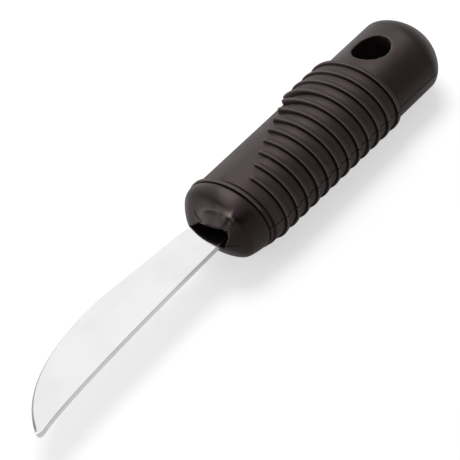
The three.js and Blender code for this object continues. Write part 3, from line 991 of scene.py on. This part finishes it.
@dataclass
class GripSleeve:
    """Rubber sleeve with round ribs, a smooth finger panel and a front collar.

    Sizes are in millimetres. A row of the ribs' profile gives shares along the rib, of its
    height, of its painted highlight on the crest edge and of its painted shade at the feet.
    """

    frame: HandleFrame
    finish: RubberFinish
    columns: int = 320
    span: Pair = (-66.4, -0.7)
    bore_half: Pair = (14.5, 9.8)
    floor_half: Pair = (17.45, 12.75)
    crest_half: Pair = (18.3, 13.6)
    rest_half: float = 13.3
    rib_count: int = 12
    full_ribs: int = 3
    first_foot: float = -63.8
    pitch: float = 5.21
    rib_width: float = 2.3
    # rows: along the rib, share of height, painted highlight on the front crest edge, painted
    # shade at the feet
    profile: tuple[tuple[float, float, float, float], ...] = (
        (-0.06, 0.0, 0.0, 0.0), (0.0, -0.08, 0.0, 0.6), (0.05, 0.3, 0.0, 0.3),
        (0.12, 0.6, 0.0, 0.0), (0.22, 0.8, 0.0, 0.0), (0.34, 0.91, 0.0, 0.0),
        (0.48, 0.96, 0.0, 0.0), (0.6, 1.0, 0.0, 0.0), (0.66, 1.0, 0.16, 0.0),
        (0.72, 0.93, 0.28, 0.0), (0.77, 0.76, 0.05, 0.0), (0.82, 0.4, 0.0, 0.7),
        (0.86, 0.05, 0.0, 1.0), (0.91, -0.12, 0.0, 1.0), (0.97, -0.06, 0.0, 0.5),
        (1.03, 0.0, 0.0, 0.0),
    )
    collar_half: Pair = (16.75, 12.75)
    collar_width: float = 1.4
    collar_round: float = 0.3
    # painted highlight on the collar's front edge
    collar_shine: float = 0.25
    groove_width: float = 0.3
    groove_depth: float = 0.5
    panel_rear: float = -49.5
    panel_turn: Pair = (-43.0, -9.9)
    panel_slope: float = 0.466
    panel_rear_slope: float = 0.85
    panel_depth: float = 1.25
    panel_fade: Pair = (7.0, -14.0)
    end_length: float = 1.1
    end_corner: float = 0.8
    skin_share: float = 0.97
    sharp_angle: float = 42.0
    piece: Object | None = None

    @property
    def collar_rear(self) -> float:
        """Station of the collar's rear edge."""
        return self.span[1] - self.collar_width

    def _rings(self) -> list[Ring]:
        """Returns the sections over the outside and back through the bore."""
        wide, high = self.floor_half
        tall, top = self.crest_half[0] - wide, self.crest_half[1] - high
        rear, front = self.span
        rings = [Ring(rear, wide, high)]
        for rib in range(self.rib_count):
            start = self.first_foot + self.pitch * rib - self.rib_width
            middle = start + self.rib_width / 2
            for along, *marks in self.profile:
                x, share = start + self.rib_width * along, marks[0]
                rings.append(Ring(x, wide + tall * share, high + top * share, marks, middle))
        edge = self.collar_round
        rings.append(Ring(self.collar_rear - self.groove_width, wide, high))
        rings += [
            Ring.inset(x, self.collar_half, depth, (0.0, shine, 0.0))
            for x, depth, shine in (
                (self.collar_rear - self.groove_width / 2, self.groove_depth, 0.0),
                (self.collar_rear, edge / 2, 0.0),
                (self.collar_rear + edge, 0.0, 0.0),
                (front - 2.0 * edge, 0.0, 0.0),
                (front - edge, 0.0, self.collar_shine),
                (front, edge, 0.0),
            )
        ]
        return rings + [Ring(front, *self.bore_half), Ring(rear, *self.bore_half)]

    def _border(self, x: float) -> float:
        """Returns the angle from the cutting-edge side at which the panel ends."""
        held = min(max(x, self.panel_rear), self.collar_rear)
        turn_x, turn_y = self.panel_turn
        slope = self.panel_rear_slope if held < turn_x else self.panel_slope
        return math.acos(-(turn_y + slope * (held - turn_x)) / self.floor_half[0])

    def _end_share(self, ring: Ring, angle: float) -> float:
        """Returns how far a rib has risen from its blunt, round-cornered end.

        Args:
            ring: Section of the rib.
            angle: Angle from the cutting-edge side.

        Returns:
            A share from 0 on the panel to 1 on the whole rib.
        """
        off = min(abs(ring.x - ring.middle) / (self.rib_width / 2), 1.0)
        corner = self.end_corner * (1.0 - math.sqrt(1.0 - off * off))
        past = (angle - self._border(ring.middle)) * self.floor_half[1] - corner
        if past <= 0.0:
            return 0.0
        rest = max(1.0 - past / self.end_length, 0.0)
        return math.sqrt(1.0 - rest * rest)

    def _press_panel(self) -> None:
        """Presses in the finger panel and rounds off the ribs that end at it."""
        wide, high = self.floor_half
        names = (self.finish.crest, self.finish.edge, self.finish.painted_shade)
        layers = Bench.layers(self.piece, names)
        lead = (self.profile[-1][0] - 1.0) * self.rib_width
        start = self.first_foot + self.pitch * (self.full_ribs - 1) + lead
        stop = self.collar_rear - self.groove_width
        rings = self._rings()
        for index, vertex in enumerate(self.piece.data.vertices):
            spot = self.frame.local(vertex.co)
            if math.hypot(spot.y / wide, spot.z / high) < self.skin_share:
                continue
            ring = rings[index // self.columns]
            marks = ring.marks
            if start + TOUCH < ring.x < stop + TOUCH:
                angle = math.atan2(spot.z / high, -spot.y / wide)
                side, up = math.cos(angle), math.sin(angle)
                whole = self._end_share(ring, abs(angle))
                marks = [mark * whole for mark in marks]
                drop = self.panel_depth * ramp(-wide * side, *self.panel_fade)
                half_wide, half_high = (
                    (floor - drop) + marks[0] * (crest - (floor - drop))
                    for floor, crest in zip(self.floor_half, self.crest_half)
                )
                vertex.co = self.frame.at(spot.x, -half_wide * side, half_high * up)
            # stores the crest share, the painted highlight and the painted shade of each point
            for layer, mark in zip(layers, marks):
                layer.data[index].value = mark

    def _flatten_rest(self) -> None:
        """Flattens the crests a little underneath, where the knife lies."""
        lowest = self.frame.at(0.0, 0.0, -self.rest_half).z
        for vertex in self.piece.data.vertices:
            vertex.co.z = max(vertex.co.z, lowest)

    def build(self) -> None:
        """Lofts the ribbed sleeve and presses its panel."""
        self.piece = Bench.loft("ribbed_sleeve", self._rings(), self.columns, self.frame)
        Bench.close_ends(bridged=True)
        self._press_panel()
        self._flatten_rest()
        Bench.smooth(self.piece, self.sharp_angle)

    def dress(self) -> None:
        """Gives the sleeve its finish and seats it on the body."""
        self.piece.data.materials.append(self.finish.material())
        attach(self.piece, BODY)
        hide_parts("grip_sleeve")
        LOG.info("%s: %d faces", self.piece.name, len(self.piece.data.polygons))


@dataclass
class Blade:
    """Curved blade with its tang, sheared spine and honed edge."""

    node: Object
    flat: SteelFinish
    spine: SteelFinish
    honed: SteelFinish
    merge: float = 0.002
    flat_angle: float = 0.2
    sharp_angle: float = 25.0
    flat_up: float = 0.95
    honed_up: float = 0.3
    honed_side: float = -0.1
    piece: Object | None = None

    def build(self) -> None:
        """Takes the plate from the solid, welds it and shades it."""
        self.piece = Bench.copy(self.node, "blade_plate")
        Bench.edit_all(self.piece)
        bpy.ops.mesh.remove_doubles(threshold=self.merge * MM)
        bpy.ops.mesh.dissolve_limited(angle_limit=math.radians(self.flat_angle))
        bpy.ops.object.mode_set(mode="OBJECT")
        Bench.smooth(self.piece, self.sharp_angle)

    def dress(self) -> None:
        """Sorts the faces by finish (flats, spine, edge) and seats the blade on the body."""
        mesh = self.piece.data
        mesh.materials.clear()
        for finish in (self.flat, self.spine, self.honed):
            mesh.materials.append(finish.material())
        for face in mesh.polygons:
            up = abs(face.normal.z)
            if up > self.flat_up:
                face.material_index = 0
            elif face.normal.y < self.honed_side and up > self.honed_up:
                face.material_index = 2
            else:
                face.material_index = 1
        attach(self.piece, BODY)
        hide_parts("blade")
        LOG.info("%s: %d faces", self.piece.name, len(mesh.polygons))


@dataclass
class TangPins:
    """Two pins inside the handle that cross the tang."""

    nodes: Sequence[Object]
    finish: SteelFinish

    def dress(self) -> None:
        """Gives the pins their finish."""
        material = self.finish.material()
        for node in self.nodes:
            node.material_slots[0].material = material
            LOG.info("%s: dressed", node.name)


@dataclass(frozen=True)
class ViewCamera:
    """Camera at the viewing angle of the photograph, sizes in millimetres."""

    azimuth: float = 141.088
    elevation: float = 36.316
    roll: float = -18.01
    distance: float = 708.724
    aim_right: float = 0.491
    aim_up: float = -4.214
    focal_pixels: float = 2303.661
    picture: int = 460
    sensor: float = 36.0
    nearest: float = 10.0

    def build(self, frame: HandleFrame) -> None:
        """Makes the camera of the scene in the frame of the handle."""
        turn, lift, roll = (math.radians(a) for a in (self.azimuth, self.elevation, self.roll))
        tilt = Matrix.Rotation(math.pi / 2 - lift, 3, "X") @ Matrix.Rotation(roll, 3, "Z")
        facing = Matrix.Rotation(turn, 3, "Z") @ tilt
        spot = facing @ Vector((self.aim_right, self.aim_up, self.distance))
        data = bpy.data.cameras.new("view_camera")
        data.sensor_width = self.sensor
        data.lens = self.focal_pixels * self.sensor / self.picture
        data.clip_start = self.nearest * MM
        camera = bpy.data.objects.new("view_camera", data)
        bpy.context.scene.collection.objects.link(camera)
        camera.matrix_world = Matrix.Translation(frame.at(*spot)) @ facing.to_4x4()
        bpy.context.scene.camera = camera


@dataclass(frozen=True)
class Softbox:
    """A square lamp that looks at one point, sizes in metres."""

    name: str
    place: Triple
    aim: Triple
    side: float
    watts: float

    def build(self) -> None:
        """Hangs the lamp."""
        data = bpy.data.lights.new(self.name, "AREA")
        data.shape = "SQUARE"
        data.size = self.side
        data.energy = self.watts
        lamp = bpy.data.objects.new(self.name, data)
        bpy.context.scene.collection.objects.link(lamp)
        lamp.location = self.place
        lamp.rotation_mode = "QUATERNION"
        lamp.rotation_quaternion = (Vector(self.aim) - Vector(self.place)).to_track_quat("-Z", "Y")


@dataclass
class Studio:
    """White floor, pale surroundings and soft lamps."""

    floor_side: float = 6.0
    floor_white: Colour = (0.93, 0.93, 0.93, 1.0)
    floor_seen: Colour = (0.5, 0.5, 0.5, 1.0)
    floor_lift: float = 0.6
    floor_glow: float = 0.2
    ambient: float = 0.34
    mirrored: float = 0.35
    lamps: tuple[Softbox, ...] = (
        Softbox("back_softbox", (-0.4, -0.5, 0.47), ORIGIN, side=0.7, watts=1.0),
        Softbox("top_softbox", (-0.26, -0.16, 0.65), ORIGIN, side=0.4, watts=2.9),
        Softbox("front_card", (0.455, -0.5, 0.165), (0.0, 0.0, 0.01), side=0.3, watts=1.6),
        Softbox("left_card", (-0.29, -0.61, 0.17), (0.0, 0.0, 0.01), side=0.4, watts=0.36),
    )

    def _seen(self, sheet: NodeSheet) -> tuple[NodeSocket, NodeSocket]:
        """Returns masks of the rays that show the surroundings straight and mirrored."""
        path = sheet.add("ShaderNodeLightPath")
        mirror = sheet.math(
            "MAXIMUM", path.outputs["Is Glossy Ray"], path.outputs["Is Transmission Ray"]
        )
        return path.outputs["Is Camera Ray"], mirror

    def _floor(self) -> None:
        """Lays the floor that keeps the shadow."""
        floor = Bench.add("studio_floor", bpy.ops.mesh.primitive_plane_add, size=self.floor_side)
        made, sheet = NodeSheet.of_material("white_floor")
        straight, mirror = self._seen(sheet)
        seen = sheet.math("MAXIMUM", straight, mirror)
        paint = sheet.blend(seen, self.floor_white, self.floor_seen)
        paper = sheet.add("ShaderNodeBsdfDiffuse", {"Color": paint})
        glow = sheet.math(
            "ADD",
            sheet.math("MULTIPLY", straight, self.floor_lift),
            sheet.math("MULTIPLY", mirror, self.floor_glow),
        )
        lift = sheet.add("ShaderNodeEmission", {"Strength": glow})
        both = sheet.add("ShaderNodeAddShader", {0: paper.outputs[0], 1: lift.outputs[0]})
        sheet.add("ShaderNodeOutputMaterial", {"Surface": both.outputs[0]})
        floor.data.materials.append(made)

    def _world(self) -> None:
        """Sets pale ambient light and a paler surrounding for reflections."""
        world = bpy.data.worlds.new("pale_room")
        world.use_nodes = True
        sheet = NodeSheet(world.node_tree)
        seen = sheet.math("MAXIMUM", *self._seen(sheet))
        strength = sheet.span(seen, UNIT, (self.ambient, self.mirrored))
        light = sheet.add("ShaderNodeBackground", {"Color": WHITE, "Strength": strength})
        sheet.add("ShaderNodeOutputWorld", {"Surface": light.outputs[0]})
        bpy.context.scene.world = world

    def build(self) -> None:
        """Sets up floor, surroundings and lamps."""
        bpy.context.scene.view_settings.view_transform = "Standard"
        self._floor()
        self._world()
        for lamp in self.lamps:
            lamp.build()


def clear_scene() -> None:
    """Removes the objects of the start file."""
    for thing in list(bpy.data.objects):
        bpy.data.objects.remove(thing)


def rubber_finishes(handle: HandleFrame) -> tuple[RubberFinish, RubberFinish]:
    """Returns the finishes of core and sleeve, their parting line on the blade's plane."""
    shell = RubberFinish(
        name="shell_satin_black",
        deep=(0.0125, 0.0078, 0.0076, 1.0),
        pale=(0.0165, 0.0105, 0.0103, 1.0),
        crest_tint=(0.023, 0.0155, 0.015, 1.0),
        rough=(0.36, 0.44),
        grain_scale=2600.0,
        bump=0.12,
        line_level=handle.shift.z,
        line_blank=tuple(handle.at(x).x for x in HandleCore.line_blank),
    )
    sleeve = RubberFinish(
        name="rubber_satin_black",
        deep=(0.021, 0.0138, 0.0138, 1.0),
        pale=(0.034, 0.0225, 0.0225, 1.0),
        crest_tint=(0.026, 0.0172, 0.0168, 1.0),
        rough=(0.46, 0.56),
        grain_scale=3000.0,
        bump=0.14,
        line_level=handle.shift.z,
    )
    return shell, sleeve


def main() -> None:
    """Builds and dresses the knife piece by piece."""
    logging.basicConfig(level=logging.INFO, format="%(name)s %(message)s")
    clear_scene()
    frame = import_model()
    nodes = frame["nodes"]
    handle = HandleFrame.from_pin("tang_pin_front", HandleCore.pin_stations[0])
    shell_finish, sleeve_finish = rubber_finishes(handle)
    ViewCamera().build(handle)
    Studio().build()
    for assembly in (
        HandleCore(handle, shell_finish),
        GripSleeve(handle, sleeve_finish),
        Blade(nodes["blade"], *BLADE_STEELS),
    ):
        assembly.build()
        assembly.dress()
    TangPins([nodes["tang_pin_front"], nodes["tang_pin_rear"]], PIN_STEEL).dress()
    Bench.clear()


if __name__ == "__main__":
    main()
